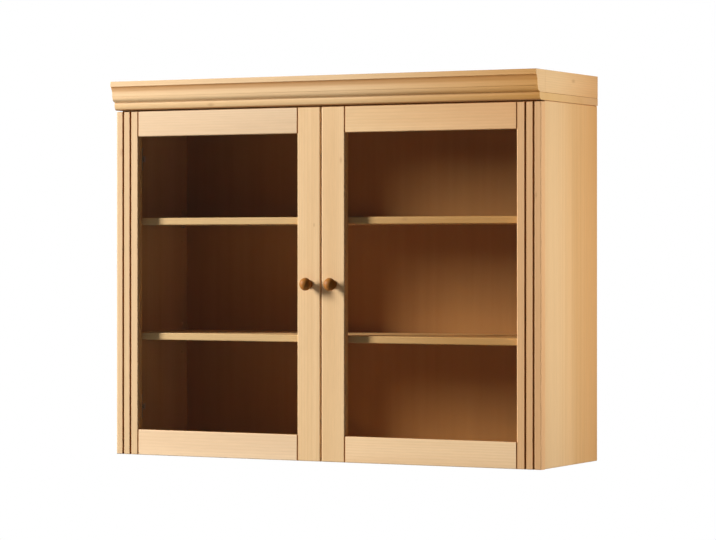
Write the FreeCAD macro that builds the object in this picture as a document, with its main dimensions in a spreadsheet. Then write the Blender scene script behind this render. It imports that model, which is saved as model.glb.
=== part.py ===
import FreeCAD, Part
import os
import re
import Sketcher

# A glazed two-door wall cabinet in pine, in millimetres.
# +X runs to the right, +Y to the wall and +Z up. The origin lies on the wall,
# at the middle of the rear face of the hanging rail.

# Driving sizes
SIZES = {
    # Overall, from the ends of the top board, the top of the crown and the door faces
    "cabinet_width": 1000,
    "cabinet_height": 800,
    "cabinet_depth": 287,
    # Carcass boards
    "side_thickness": 18,
    "side_setback": 1.5,
    "bottom_thickness": 18,
    "top_thickness": 15,
    "top_overhang": 8.5,
    "back_thickness": 6,
    "back_groove_depth": 6,
    "rail_thickness": 18,
    "rail_height": 80,
    "edge_round": 2,
    "joint_bevel": 1.5,
    "slip_fit": 0.1,
    # Wall screw holes in the hanging rail
    "wall_hole_spacing": 800,
    "wall_hole_radius": 3.5,
    # Dowels of the carcass and the door frames
    "dowel_radius": 4,
    "dowel_length": 30,
    "dowel_blind_depth": 10,
    "dowel_edge_distance": 40,
    "rail_dowel_spacing": 40,
    "frame_dowel_length": 36,
    "frame_dowel_edge": 12,
    "frame_dowel_spacing": 20,
    # Shelves and their pins
    "shelf_thickness": 15,
    "shelf_setback": 2,
    "shelf_side_gap": 1,
    "shelf_back_gap": 1,
    "pin_radius": 2.5,
    "pin_length": 16,
    "pin_hole_depth": 9,
    "pin_pitch": 32,
    "pin_front_distance": 37,
    "pin_back_distance": 22,
    "shelf_rest_gap": 0.05,
    # Crown
    "crown_height": 46,
    "crown_projection": 25.5,
    "crown_depth": 44,
    "crown_fillet_height": 11,
    "crown_fillet_lip": 2,
    "crown_cove_depth": 5,
    "crown_cove_height": 15,
    "crown_cove_radius": 25,
    "crown_quirk_height": 13,
    "crown_quirk_slope": 0.5,
    "crown_quirk": 2,
    "crown_ovolo_depth": 7.5,
    "crown_ovolo_height": 11,
    "crown_ovolo_radius": 14,
    "crown_foot_bevel": 1,
    "crown_board_thickness": 18,
    "crown_block_width": 30,
    "crown_block_height": 36,
    "crown_block_back_gap": 12,
    "crown_screw_radius": 2,
    "crown_screw_length": 36,
    "crown_screw_head_radius": 4,
    "crown_screw_head_height": 2.5,
    # Doors
    "door_thickness": 20,
    "door_stand_off": 1,
    "door_top_gap": 3,
    "meeting_gap": 3,
    "frame_width": 54,
    "flute_width": 4,
    "flute_depth": 5,
    "flute_edge_distance": 17,
    "flute_spacing": 18,
    "flute_lip_bevel": 0.6,
    "hinge_edge_round": 3,
    "rebate_width": 10,
    "glass_thickness": 4,
    "glass_setback": 10,
    "bead_width": 9,
    "bead_round": 2,
    "bumper_radius": 4,
    "bumper_play": 0.2,
    "bumper_inset": 60,
    # Knob
    "knob_length": 26,
    "knob_head_radius": 13.5,
    "knob_head_height": 10.5,
    "knob_crown_radius": 14,
    "knob_neck_radius": 6,
    "knob_neck_height": 8,
    "knob_shoulder_radius": 8.5,
    "knob_foot_radius": 9,
    "knob_foot_height": 2,
    "knob_flare_radius": 6.5,
    "knob_screw_radius": 2,
    "knob_screw_grip": 13,
    "knob_screw_head_radius": 4,
    "knob_screw_head_height": 2.4,
    # Concealed hinges
    "hinge_end_distance": 100,
    "cup_radius": 17.5,
    "cup_depth": 12,
    "cup_edge_gap": 4,
    "cup_wall": 0.7,
    "cup_floor": 0.8,
    "flange_reach": 17,
    "flange_half_height": 31,
    "flange_thickness": 1,
    "cup_screw_offset": 9.5,
    "cup_screw_spacing": 48,
    "cup_screw_length": 10,
    "hinge_pin_radius": 1.5,
    "hinge_pin_play": 0.05,
    "door_pin_inset": 4.4,
    "door_pin_depth": 5,
    "arm_pin_offset": 5.4,
    "arm_pin_depth": 2,
    "link_boss_radius": 2.3,
    "link_half_height": 4,
    "link_thickness": 2.4,
    "link_floor_gap": 1,
    "ear_radius": 3,
    "ear_thickness": 2,
    "ear_play": 0.3,
    "arm_neck": 9,
    "arm_length": 46,
    "arm_thickness": 6.5,
    "arm_screw_radius": 2,
    "arm_screw_head_radius": 4,
    "arm_screw_head_height": 2,
    "arm_screw_distance": 8,
    "plate_thickness": 2.5,
    "plate_depth": 30,
    "plate_height": 50,
    "plate_front_distance": 37,
    "plate_screw_spacing": 32,
    "wood_screw_radius": 1.75,
    "wood_screw_head_radius": 3.2,
    "wood_screw_head_height": 1.2,
    "plate_screw_grip": 11,
}

# Sizes and places that follow from the driving sizes, for the left half of the cabinet
DERIVED = {
    "half_width": "cabinet_width / 2",
    "carcass_height": "cabinet_height - crown_height - top_thickness",
    "top_z": "rail_height / 2",
    "base_z": "top_z - carcass_height",
    "crown_z": "top_z + top_thickness",
    "door_front": "-cabinet_depth",
    "door_back": "door_front + door_thickness",
    "carcass_front": "door_back + door_stand_off",
    "back_front": "-rail_thickness - back_thickness",
    "side_x": "side_setback - half_width",
    "inner_x": "side_x + side_thickness",
    "inner_width": "-2 * inner_x",
    "bottom_depth": "back_front - carcass_front",
    "door_height": "carcass_height - door_top_gap",
    "door_width": "half_width - meeting_gap / 2",
    "opening_x": "frame_width - half_width",
    "opening_width": "door_width - 2 * frame_width",
    "meeting_x": "-meeting_gap / 2 - frame_width",
    "opening_z": "base_z + frame_width",
    "opening_height": "door_height - 2 * frame_width",
    "glass_y": "door_front + glass_setback",
    "glass_margin": "rebate_width - slip_fit",
    "bead_y": "glass_y + glass_thickness",
    "shelf_pitch": "carcass_height / 3",
    "shelf_depth": "bottom_depth - shelf_setback - shelf_back_gap",
    "lower_shelf_z": "base_z + shelf_pitch",
    "upper_shelf_z": "lower_shelf_z + shelf_pitch",
    "pin_front_y": "carcass_front + pin_front_distance",
    "pin_back_y": "back_front - pin_back_distance",
    "crown_back": "crown_depth - crown_projection - cabinet_depth",
    "block_x": "crown_board_thickness - half_width",
    "dowel_hole": "dowel_radius + slip_fit",
    "knob_x": "-meeting_gap / 2 - frame_width / 2",
    "knob_z": "base_z + door_height / 2",
    "cup_x": "cup_edge_gap + cup_radius - half_width",
    "cup_outer": "cup_radius - slip_fit",
    "cup_inner": "cup_outer - cup_wall",
    "door_pin_x": "cup_edge_gap + door_pin_inset - half_width",
    "door_pin_y": "door_back - door_pin_depth",
    "door_pin_reach": "cup_radius - door_pin_inset + hinge_pin_radius",
    "door_pin_half": "sqrt(cup_outer * cup_outer - door_pin_reach * door_pin_reach) - slip_fit",
    "arm_pin_x": "inner_x + arm_pin_offset",
    "arm_pin_y": "door_back - arm_pin_depth",
    "arm_half_height": "link_half_height + ear_play + ear_thickness",
    "hinge_bore": "hinge_pin_radius + hinge_pin_play",
    "link_floor_y": "door_back - cup_depth + cup_floor + link_floor_gap",
    "plate_x": "inner_x + plate_thickness",
    "plate_y": "carcass_front + plate_front_distance",
    "arm_y": "arm_pin_y + arm_neck",
    "arm_screw_y": "arm_y + arm_length - arm_screw_distance",
    "wood_screw_hole": "wood_screw_radius + slip_fit",
}

doc = FreeCAD.newDocument("wall_cabinet")
sizes = doc.addObject("Spreadsheet::Sheet", "sizes")
for row, (alias, number) in enumerate(SIZES.items(), start=1):
    sizes.set(f"A{row}", str(number))
    sizes.setAlias(f"A{row}", alias)
doc.recompute()
derived = doc.addObject("App::VarSet", "derived")

AXIS_TURN = {
    "x": FreeCAD.Rotation(FreeCAD.Vector(0, 1, 0), 90),
    "y": FreeCAD.Rotation(FreeCAD.Vector(1, 0, 0), -90),
    "z": FreeCAD.Rotation(),
}
FACE_SIDES = {
    "left": ("X", "XMin"),
    "right": ("X", "XMax"),
    "front": ("Y", "YMin"),
    "back": ("Y", "YMax"),
    "bottom": ("Z", "ZMin"),
    "top": ("Z", "ZMax"),
}
TOUCH = 1e-4
nodes = {}


def owned(expression):
    """Put the owner's name before each size named in an expression."""
    def with_owner(match):
        word = match.group()
        if word in SIZES:
            return "sizes." + word
        if word in DERIVED:
            return "derived." + word
        return word
    return re.sub(r"[a-z][a-z_]*", with_owner, expression)


def bind(thing, name, expression):
    """Tie one property of a document object to the sizes."""
    thing.setExpression(name, owned(expression))


def place(thing, corner):
    """Tie the three coordinates of an object's place to the sizes."""
    for axis, expression in zip("xyz", corner):
        bind(thing, "Placement.Base." + axis, expression)


def value(expression):
    """The present value of an expression in the sizes."""
    return float(sizes.evalExpression(owned(expression)))


def box(name, corner, size):
    """A plain block from its lowest corner."""
    block = doc.addObject("Part::Box", name)
    for edge, expression in zip(("Length", "Width", "Height"), size):
        bind(block, edge, expression)
    place(block, corner)
    return block


def rod(name, axis, radius, length, start):
    """A round rod along an axis, from its lowest end."""
    bar = doc.addObject("Part::Cylinder", name)
    bar.Placement = FreeCAD.Placement(FreeCAD.Vector(), AXIS_TURN[axis])
    bind(bar, "Radius", radius)
    bind(bar, "Height", length)
    place(bar, start)
    return bar


def edge_names(shape, face_pairs):
    """The names of a block's edges, each told by the two faces that meet there."""
    limits = shape.BoundBox
    names = []
    for number, edge in enumerate(shape.Edges, start=1):
        middle = edge.CenterOfMass
        for pair in face_pairs:
            sides = [FACE_SIDES[face] for face in pair]
            offs = [abs(getattr(middle, axis.lower()) - getattr(limits, limit)) for axis, limit in sides]
            if max(offs) < TOUCH:
                names.append(f"Edge{number}")
    return names


def board(name, corner, size, rounds=(), round_radius="edge_round", bevels=(), bevel_size="joint_bevel"):
    """A board with some of its edges rounded and some bevelled."""
    body = doc.addObject("PartDesign::Body", name + "_board")
    feature = body.newObject("PartDesign::AdditiveBox", name + "_blank")
    for edge, expression in zip(("Length", "Width", "Height"), size):
        bind(feature, edge, expression)
    doc.recompute()
    for kind, pairs, setting, amount in (
        ("PartDesign::Chamfer", bevels, "Size", bevel_size),
        ("PartDesign::Fillet", rounds, "Radius", round_radius),
    ):
        if pairs:
            names = edge_names(feature.Shape, pairs)
            dressed = body.newObject(kind, name + "_edges")
            dressed.Base = (feature, names)
            bind(dressed, setting, amount)
            doc.recompute()
            feature = dressed
    place(body, corner)
    return body


def fuse(name, things):
    """Several overlapping shapes as one solid."""
    joined = doc.addObject("Part::MultiFuse", name)
    joined.Shapes = things
    return joined


def cut(name, base, tools):
    """A shape with other shapes taken out of it."""
    trimmed = doc.addObject("Part::Cut", name)
    trimmed.Base = base
    trimmed.Tool = tools[0] if len(tools) == 1 else fuse(name + "_cutters", tools)
    return trimmed


def group(name, solids):
    """Like pieces that share one node, as separate solids."""
    gathered = doc.addObject("Part::Compound", name)
    gathered.Links = solids
    return gathered


def node(label, thing):
    """Name a finished piece and keep it for writing."""
    thing.Label = label
    nodes[label] = thing
    return thing


def mirror_image(thing):
    """The same shape on the right half of the cabinet."""
    copy = doc.addObject("Part::Mirroring", thing.Name + "_right")
    copy.Source = thing
    copy.Normal = (1, 0, 0)
    return copy


def with_mirror_images(things):
    """Shapes of the left half, and the same shapes on the right."""
    return things + [mirror_image(thing) for thing in things]


def both_sides(label, thing):
    """Keep a piece of the left half and its mirror image on the right."""
    node("left_" + label, thing)
    node("right_" + label, mirror_image(thing))


def outline(body, plane_role, name, corners):
    """A closed sketch. Each corner is (across, up, bend to the next corner).

    A bend is None for a straight run, or (radius, turn), where turn is 1 if the
    arc's centre lies to the left of the run and -1 if it lies to the right.
    """
    sketch = body.newObject("Sketcher::SketchObject", name)
    plane = next(item for item in body.Origin.OriginFeatures if item.Role == plane_role)
    sketch.AttachmentSupport = (plane, "")
    sketch.MapMode = "FlatFace"
    points = [FreeCAD.Vector(value(across), value(up), 0) for across, up, bend in corners]
    ends = []
    for number, (across, up, bend) in enumerate(corners):
        start = points[number]
        finish = points[(number + 1) % len(points)]
        if bend is None:
            sketch.addGeometry(Part.LineSegment(start, finish))
            ends.append((1, 2))
            continue
        radius, turn = value(bend[0]), bend[1]
        half = (finish - start) / 2
        left = FreeCAD.Vector(-half.y, half.x, 0).normalize()
        centre = start + half + left * turn * (radius ** 2 - half.Length ** 2) ** 0.5
        middle = centre - left * turn * radius
        sketch.addGeometry(Part.Arc(start, middle, finish))
        ends.append((1, 2) if turn > 0 else (2, 1))
        bound = sketch.addConstraint(Sketcher.Constraint("Radius", number, radius))
        bind(sketch, f"Constraints[{bound}]", bend[0])
    for number, (across, up, bend) in enumerate(corners):
        following = (number + 1) % len(corners)
        sketch.addConstraint(
            Sketcher.Constraint("Coincident", number, ends[number][1], following, ends[following][0])
        )
        for direction, expression, axis in (("DistanceX", across, -2), ("DistanceY", up, -1)):
            if expression == "0":
                sketch.addConstraint(Sketcher.Constraint("PointOnObject", number, ends[number][0], axis))
                continue
            bound = sketch.addConstraint(
                Sketcher.Constraint(direction, -1, 1, number, ends[number][0], value(expression))
            )
            bind(sketch, f"Constraints[{bound}]", expression)
    doc.recompute()
    return sketch


def headed_screw(name, axis, start, length, radius, head_radius, head_height):
    """A plain screw along an axis: a shank with a low round head at its far end."""
    along = "xyz".index(axis)
    head_start = list(start)
    head_start[along] = f"{start[along]} + {length}"
    shank = rod(name + "_shank", axis, radius, length, start)
    head = rod(name + "_head", axis, head_radius, head_height, head_start)
    return fuse(name, [shank, head])


for name in DERIVED:
    derived.addProperty("App::PropertyFloat", name)
for name, expression in DERIVED.items():
    bind(derived, name, expression)
doc.recompute()


# Joints of the carcass, worked out once for every board that they meet
def carcass_dowel_places():
    """Axis and lowest end of each dowel in the left half, by the board that it joins to the side."""
    into_side = "inner_x - dowel_blind_depth"
    side_middle = "side_x + side_thickness / 2"
    under_top = "top_z - dowel_length + dowel_blind_depth"
    bottom_middle = "base_z + bottom_thickness / 2"
    rail_depth = "-rail_thickness / 2"
    rail_middles = {"hanging_rail": "0", "lower_wall_rail": "base_z + rail_height / 2"}
    rows = (
        "carcass_front + dowel_edge_distance",
        "(carcass_front + back_front) / 2",
        "back_front - dowel_edge_distance",
    )
    places = {
        "bottom_panel": [("x", (into_side, depth, bottom_middle)) for depth in rows],
        "top_board": [("z", (side_middle, depth, under_top)) for depth in rows],
    }
    for rail, middle in rail_middles.items():
        heights = (f"{middle} - rail_dowel_spacing / 2", f"{middle} + rail_dowel_spacing / 2")
        places[rail] = [("x", (into_side, rail_depth, height)) for height in heights]
    return places


def dowel_holes(name, places):
    """The holes for dowels, longer than the dowels by the slip fit at each end."""
    holes = []
    for axis, start in places:
        along = "xyz".index(axis)
        low = list(start)
        low[along] = f"{start[along]} - slip_fit"
        holes.append(rod(name, axis, "dowel_hole", "dowel_length + 2 * slip_fit", low))
    return holes


def shelf_pin_heights():
    """Heights of the pins under the lower and the upper shelf."""
    drop = "- pin_radius - shelf_rest_gap"
    return {"lower": f"lower_shelf_z {drop}", "upper": f"upper_shelf_z {drop}"}


HINGE_HEIGHTS = ("base_z + hinge_end_distance", "base_z + door_height - hinge_end_distance")
PIN_ROWS = ("pin_front_y", "pin_back_y")
carcass_dowels = carcass_dowel_places()
every_carcass_dowel = [place for places in carcass_dowels.values() for place in places]


def plate_screw_heights(hinge_height):
    """Heights of the two screws of one hinge plate."""
    return (f"{hinge_height} - plate_screw_spacing / 2", f"{hinge_height} + plate_screw_spacing / 2")


# Carcass boards
def side_panel():
    """The left side, with its dowel, pin and screw holes and the groove of the back panel."""
    blank = board(
        "side_panel",
        ("side_x", "carcass_front", "base_z"),
        ("side_thickness", "-carcass_front", "carcass_height"),
        rounds=(("front", "left"), ("left", "bottom")),
        bevels=(("left", "top"),),
    )
    cutters = dowel_holes("side_dowel_hole", every_carcass_dowel)
    for depth in PIN_ROWS:
        for height in shelf_pin_heights().values():
            for step in ("- pin_pitch", "", "+ pin_pitch"):
                start = ("inner_x - pin_hole_depth", depth, f"{height} {step}")
                length = "pin_hole_depth + side_thickness"
                cutters.append(rod("pin_hole", "x", "pin_radius + slip_fit", length, start))
    for hinge_height in HINGE_HEIGHTS:
        for height in plate_screw_heights(hinge_height):
            start = ("inner_x - plate_screw_grip - slip_fit", "plate_y", height)
            length = "plate_screw_grip + side_thickness"
            cutters.append(rod("plate_screw_hole", "x", "wood_screw_hole", length, start))
    groove_start = ("inner_x - back_groove_depth", "back_front - slip_fit", "base_z - side_thickness")
    groove_size = (
        "back_groove_depth + side_thickness",
        "back_thickness + 2 * slip_fit",
        "carcass_height + 2 * side_thickness",
    )
    cutters.append(box("back_groove", groove_start, groove_size))
    return cut("side_panel", blank, cutters)


both_sides("side_panel", side_panel())


def bottom_panel():
    """The bottom, between the sides."""
    blank = board(
        "bottom_panel",
        ("inner_x", "carcass_front", "base_z"),
        ("inner_width", "bottom_depth", "bottom_thickness"),
        rounds=(("front", "top"),),
    )
    holes = dowel_holes("bottom_dowel_hole", carcass_dowels["bottom_panel"])
    return cut("bottom_panel", blank, with_mirror_images(holes))


node("bottom_panel", bottom_panel())


# Crown screws stand in the glue blocks, one in each
def crown_block_corners():
    """Lowest corners of the two glue blocks of the left half."""
    corners = []
    for depth in ("crown_back", "-crown_block_back_gap - crown_block_width"):
        corners.append(("block_x", depth, "crown_z"))
    return corners


def crown_screw_places():
    """Across and depth of the screw in the middle of each glue block."""
    half = "crown_block_width / 2"
    return [(f"{x} + {half}", f"{y} + {half}") for x, y, z in crown_block_corners()]


def crown_screw(name, x, y, play):
    """A countersunk screw, or with some play the hole that it stands in."""
    head = doc.addObject("Part::Cone", name + "_head")
    bind(head, "Radius1", f"crown_screw_head_radius + {play}")
    radius = f"crown_screw_radius + {play}"
    bind(head, "Radius2", radius)
    bind(head, "Height", "crown_screw_head_height")
    place(head, (x, y, "top_z"))
    shank = rod(name + "_shank", "z", radius, f"crown_screw_length + {play}", (x, y, "top_z"))
    return fuse(name, [head, shank])


def top_board():
    """The top, over the ends of the sides, with an overhang in front."""
    blank = board(
        "top_board",
        ("-half_width", "door_front - top_overhang", "top_z"),
        ("cabinet_width", "cabinet_depth + top_overhang", "top_thickness"),
        rounds=(("front", "bottom"),),
        bevels=(
            ("front", "top"),
            ("left", "top"),
            ("right", "top"),
            ("left", "bottom"),
            ("right", "bottom"),
        ),
        bevel_size="crown_foot_bevel",
    )
    holes = dowel_holes("top_dowel_hole", carcass_dowels["top_board"])
    holes += [crown_screw("top_screw_hole", x, y, "slip_fit") for x, y in crown_screw_places()]
    return cut("top_board", blank, with_mirror_images(holes))


node("top_board", top_board())


def wall_holes(name):
    """The two holes for the wall screws, through the hanging rail and the back panel."""
    holes = []
    for side in ("-", ""):
        start = (f"{side}wall_hole_spacing / 2", "back_front - back_thickness", "0")
        holes.append(rod(name, "y", "wall_hole_radius", "2 * (rail_thickness + back_thickness)", start))
    return holes


def wall_rail(name, height, extra_holes):
    """A rail between the sides, behind the back panel and flush with the wall."""
    blank = box(
        name + "_blank",
        ("inner_x", "-rail_thickness", height),
        ("inner_width", "rail_thickness", "rail_height"),
    )
    holes = dowel_holes(name + "_dowel_hole", carcass_dowels[name])
    return cut(name, blank, with_mirror_images(holes) + extra_holes)


node("hanging_rail", wall_rail("hanging_rail", "-rail_height / 2", wall_holes("rail_wall_hole")))
node("lower_wall_rail", wall_rail("lower_wall_rail", "base_z", []))


def back_panel():
    """A thin sheet that slides in the grooves of the side panels."""
    reach = "inner_width + 2 * back_groove_depth - 2 * slip_fit"
    sheet = box(
        "back_sheet",
        ("inner_x - back_groove_depth + slip_fit", "back_front", "base_z"),
        (reach, "back_thickness", "carcass_height"),
    )
    return cut("back_panel", sheet, wall_holes("back_wall_hole"))


node("back_panel", back_panel())


def all_carcass_dowels():
    """Every dowel of the carcass, left and right."""
    left = [
        rod("carcass_dowel", axis, "dowel_radius", "dowel_length", start)
        for axis, start in every_carcass_dowel
    ]
    return group("carcass_dowels", with_mirror_images(left))


node("carcass_dowels", all_carcass_dowels())


# Shelves on their pins
def shelf(name, height):
    """A loose board with both front edges rounded."""
    return board(
        name,
        ("inner_x + shelf_side_gap", "carcass_front + shelf_setback", height),
        ("inner_width - 2 * shelf_side_gap", "shelf_depth", "shelf_thickness"),
        rounds=(("front", "top"), ("front", "bottom")),
    )


def shelf_pins(name, height):
    """Four pins under one shelf, two in each side."""
    left = [
        rod(name, "x", "pin_radius", "pin_length", ("inner_x - pin_hole_depth + slip_fit", depth, height))
        for depth in PIN_ROWS
    ]
    return group(name, with_mirror_images(left))


for level, pin_height in shelf_pin_heights().items():
    node(f"{level}_shelf", shelf(f"{level}_shelf", f"{level}_shelf_z"))
    node(f"{level}_shelf_pins", shelf_pins(f"{level}_shelf_pins", pin_height))


# Crown: a moulded front, plain boards along the sides, glue blocks in the corners
def crown_front_moulding():
    """The profile runs back from the front of the fillet and up from the top board."""
    fillet_foot = "crown_height - crown_fillet_height"
    cove_back = "crown_fillet_lip + crown_cove_depth"
    quirk_front = f"{cove_back} + crown_quirk_slope"
    quirk_back = f"{quirk_front} + crown_quirk"
    ovolo_back = f"{quirk_back} + crown_ovolo_depth"
    ovolo_foot = "crown_quirk_height - crown_ovolo_height"
    body = doc.addObject("PartDesign::Body", "crown_front_moulding")
    profile = outline(body, "YZ_Plane", "crown_profile", (
        ("crown_depth", "crown_height", None),
        ("0", "crown_height", None),
        ("0", fillet_foot, None),
        ("crown_fillet_lip", fillet_foot, ("crown_cove_radius", -1)),
        (cove_back, f"{fillet_foot} - crown_cove_height", None),
        (quirk_front, "crown_quirk_height", None),
        (quirk_back, "crown_quirk_height", ("crown_ovolo_radius", 1)),
        (ovolo_back, ovolo_foot, None),
        (f"{ovolo_back} + crown_foot_bevel", "0", None),
        ("crown_depth", "0", None),
    ))
    run = body.newObject("PartDesign::Pad", "crown_run")
    run.Profile = profile
    bind(run, "Length", "cabinet_width")
    place(body, ("-half_width", "door_front - crown_projection", "crown_z"))
    return body


def crown_board():
    """A plain board along the left side, behind the moulded front."""
    return board(
        "crown_board",
        ("-half_width", "crown_back", "crown_z"),
        ("crown_board_thickness", "-crown_back", "crown_height"),
        bevels=(("left", "bottom"),),
        bevel_size="crown_foot_bevel",
    )


def crown_corner_blocks():
    """Glue blocks in the corners of the crown, bored for its screws."""
    size = ("crown_block_width", "crown_block_width", "crown_block_height")
    left = []
    for corner, (x, y) in zip(crown_block_corners(), crown_screw_places()):
        hole = crown_screw("block_screw_hole", x, y, "slip_fit")
        left.append(cut("crown_block", box("crown_block_blank", corner, size), [hole]))
    return group("crown_corner_blocks", with_mirror_images(left))


def crown_screws():
    """The screws that hold the crown from under the top board."""
    left = [crown_screw("crown_screw", x, y, "0") for x, y in crown_screw_places()]
    return group("crown_screws", with_mirror_images(left))


node("crown_front_moulding", crown_front_moulding())
both_sides("crown_board", crown_board())
node("crown_corner_blocks", crown_corner_blocks())
node("crown_screws", crown_screws())


# Door frame: two stiles and two rails, dowelled, with one rebate for the glass
def frame_dowel_places():
    """Lowest end of each dowel, by the rail and the stile that it joins."""
    middle_depth = "door_front + door_thickness / 2"
    places = {}
    ends = {
        "hinge": "opening_x - frame_dowel_length / 2",
        "meeting": "meeting_x - frame_dowel_length / 2",
    }
    first = {"bottom": "base_z + frame_dowel_edge", "top": "base_z + door_height - frame_dowel_edge"}
    second = {"bottom": "+ frame_dowel_spacing", "top": "- frame_dowel_spacing"}
    for rail in first:
        for stile, start in ends.items():
            heights = (first[rail], f"{first[rail]} {second[rail]}")
            places[rail, stile] = [("x", (start, middle_depth, height)) for height in heights]
    return places


frame_dowels = frame_dowel_places()


def frame_dowel_holes(name, member):
    """Holes of the dowels that reach into one stile or rail."""
    holes = []
    for joint, places in frame_dowels.items():
        if member in joint:
            for axis, (x, y, z) in places:
                low = (f"{x} - slip_fit", y, z)
                holes.append(rod(name, axis, "dowel_hole", "frame_dowel_length + 2 * slip_fit", low))
    return holes


def glass_rebate(name):
    """The space of the glass and its beads, let into the back of the frame."""
    corner = ("opening_x - rebate_width", "glass_y", "opening_z - rebate_width")
    size = ("opening_width + 2 * rebate_width", "2 * door_thickness", "opening_height + 2 * rebate_width")
    return box(name, corner, size)


def stile_blank(name, x, rounds, bevels):
    """A stile as high as the door, before it is cut."""
    return board(
        name,
        (x, "door_front", "base_z"),
        ("frame_width", "door_thickness", "door_height"),
        rounds=rounds,
        bevels=bevels,
    )


def hinge_stile():
    """The outer stile, fluted in front and bored behind for the hinge cups."""
    blank = stile_blank(
        "hinge_stile",
        "-half_width",
        (("front", "left"), ("front", "top"), ("front", "bottom")),
        (("front", "right"),),
    )
    cutters = frame_dowel_holes("hinge_stile_dowel_hole", "hinge")
    cutters.append(glass_rebate("hinge_stile_rebate"))
    for across in ("flute_edge_distance", "flute_edge_distance + flute_spacing"):
        cutters += flute_cutters(f"{across} - flute_width / 2 - half_width")
    for height in HINGE_HEIGHTS:
        cutters.append(cup_bore(height))
        cutters += [
            rod("cup_screw_hole", "y", "wood_screw_hole", "2 * cup_screw_length", start)
            for start in cup_screw_starts(height, "- slip_fit")
        ]
    cutters.append(hinge_edge_cutter())
    return cut("hinge_stile", blank, cutters)


def flute_cutters(low_x):
    """One square groove down the front of the stile, and a bevel along each of its lips."""
    low_z = "base_z - flute_depth"
    length = "door_height + 2 * flute_depth"
    size = ("flute_width", "2 * flute_depth", length)
    cutters = [box("flute", (low_x, "door_front - flute_depth", low_z), size)]
    for lip_x in (low_x, f"{low_x} + flute_width"):
        bevel = doc.addObject("Part::Prism", "flute_lip")
        bevel.Polygon = 4
        bind(bevel, "Circumradius", "flute_lip_bevel")
        bind(bevel, "Height", length)
        place(bevel, (lip_x, "door_front", low_z))
        cutters.append(bevel)
    return cutters


def hinge_edge_cutter():
    """What rounding takes off the outer back edge, so that the door clears the side panel."""
    corner = box(
        "hinge_edge_corner",
        ("-half_width - hinge_edge_round", "door_back - hinge_edge_round", "base_z - hinge_edge_round"),
        ("2 * hinge_edge_round", "2 * hinge_edge_round", "door_height + 2 * hinge_edge_round"),
    )
    keep = rod(
        "hinge_edge_keep",
        "z",
        "hinge_edge_round",
        "door_height + 4 * hinge_edge_round",
        ("hinge_edge_round - half_width", "door_back - hinge_edge_round", "base_z - 2 * hinge_edge_round"),
    )
    return cut("hinge_edge_cutter", corner, [keep])


def cup_bore(height):
    """The hole and the shallow flange recess of one hinge cup."""
    hole = rod(
        "cup_hole", "y", "cup_radius", "cup_depth + slip_fit + door_thickness",
        ("cup_x", "door_back - cup_depth - slip_fit", height),
    )
    low_z = f"{height} - flange_half_height - slip_fit"
    recess = box(
        "flange_recess",
        ("cup_x - slip_fit", "door_back - flange_thickness - slip_fit", low_z),
        ("flange_reach + 2 * slip_fit", "door_thickness", "2 * flange_half_height + 2 * slip_fit"),
    )
    return fuse("cup_bore", [hole, recess])


def cup_screw_starts(height, shift=""):
    """Lowest ends of the two screws of one hinge cup."""
    starts = []
    for side in ("-", "+"):
        at = f"{height} {side} cup_screw_spacing / 2"
        starts.append(("cup_x + cup_screw_offset", f"door_back - cup_screw_length {shift}", at))
    return starts


def meeting_stile():
    """The inner stile, bored through for the knob's screw."""
    blank = stile_blank(
        "meeting_stile",
        "meeting_x",
        (("front", "right"), ("front", "top"), ("front", "bottom")),
        (("front", "left"),),
    )
    cutters = frame_dowel_holes("meeting_stile_dowel_hole", "meeting")
    cutters.append(glass_rebate("meeting_stile_rebate"))
    cutters.append(rod(
        "knob_screw_hole", "y", "knob_screw_radius + slip_fit", "3 * door_thickness",
        ("knob_x", "door_front - door_thickness", "knob_z"),
    ))
    return cut("meeting_stile", blank, cutters)


def frame_rail(name, height, outer_edge, inner_edge):
    """A rail between the stiles of a door."""
    blank = board(
        name,
        ("opening_x", "door_front", height),
        ("opening_width", "door_thickness", "frame_width"),
        rounds=(("front", outer_edge), ("front", inner_edge)),
        bevels=(("front", "left"), ("front", "right")),
    )
    cutters = frame_dowel_holes(name + "_dowel_hole", name.split("_")[0])
    cutters.append(glass_rebate(name + "_rebate"))
    return cut(name, blank, cutters)


def door_dowels():
    """The dowels between the rails and the stiles."""
    places = [place for places in frame_dowels.values() for place in places]
    return group("door_dowels", [
        rod("door_dowel", axis, "dowel_radius", "frame_dowel_length", start) for axis, start in places
    ])


both_sides("door_hinge_stile", hinge_stile())
both_sides("door_meeting_stile", meeting_stile())
both_sides("door_bottom_rail", frame_rail("bottom_rail", "base_z", "bottom", "top"))
both_sides("door_top_rail", frame_rail("top_rail", "base_z + door_height - frame_width", "top", "bottom"))
both_sides("door_dowels", door_dowels())


# Glass and the beads that hold it
def glass():
    """One plain pane in the rebate of the frame."""
    return box(
        "glass",
        ("opening_x - glass_margin", "glass_y", "opening_z - glass_margin"),
        ("opening_width + 2 * glass_margin", "glass_thickness", "opening_height + 2 * glass_margin"),
    )


def glazing_beads():
    """Four strips: the level ones run through, the upright ones stand between them."""
    thickness = "door_back - bead_y"
    low_x = "opening_x - rebate_width"
    low_z = "opening_z - rebate_width"
    run = "opening_width + 2 * rebate_width"
    rise = "opening_height + 2 * rebate_width - 2 * bead_width"
    high_x = "opening_x + opening_width + rebate_width - bead_width"
    high_z = "opening_z + opening_height + rebate_width - bead_width"
    beads = []
    for start, inner_edge in ((low_z, "top"), (high_z, "bottom")):
        corner = (low_x, "bead_y", start)
        rounds = (("back", inner_edge),)
        beads.append(board("level_bead", corner, (run, thickness, "bead_width"), rounds, "bead_round"))
    for start, inner_edge in ((low_x, "right"), (high_x, "left")):
        corner = (start, "bead_y", f"{low_z} + bead_width")
        rounds = (("back", inner_edge),)
        beads.append(board("upright_bead", corner, ("bead_width", thickness, rise), rounds, "bead_round"))
    return group("glazing_beads", beads)


both_sides("door_glass", glass())
both_sides("door_glazing_beads", glazing_beads())


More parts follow.
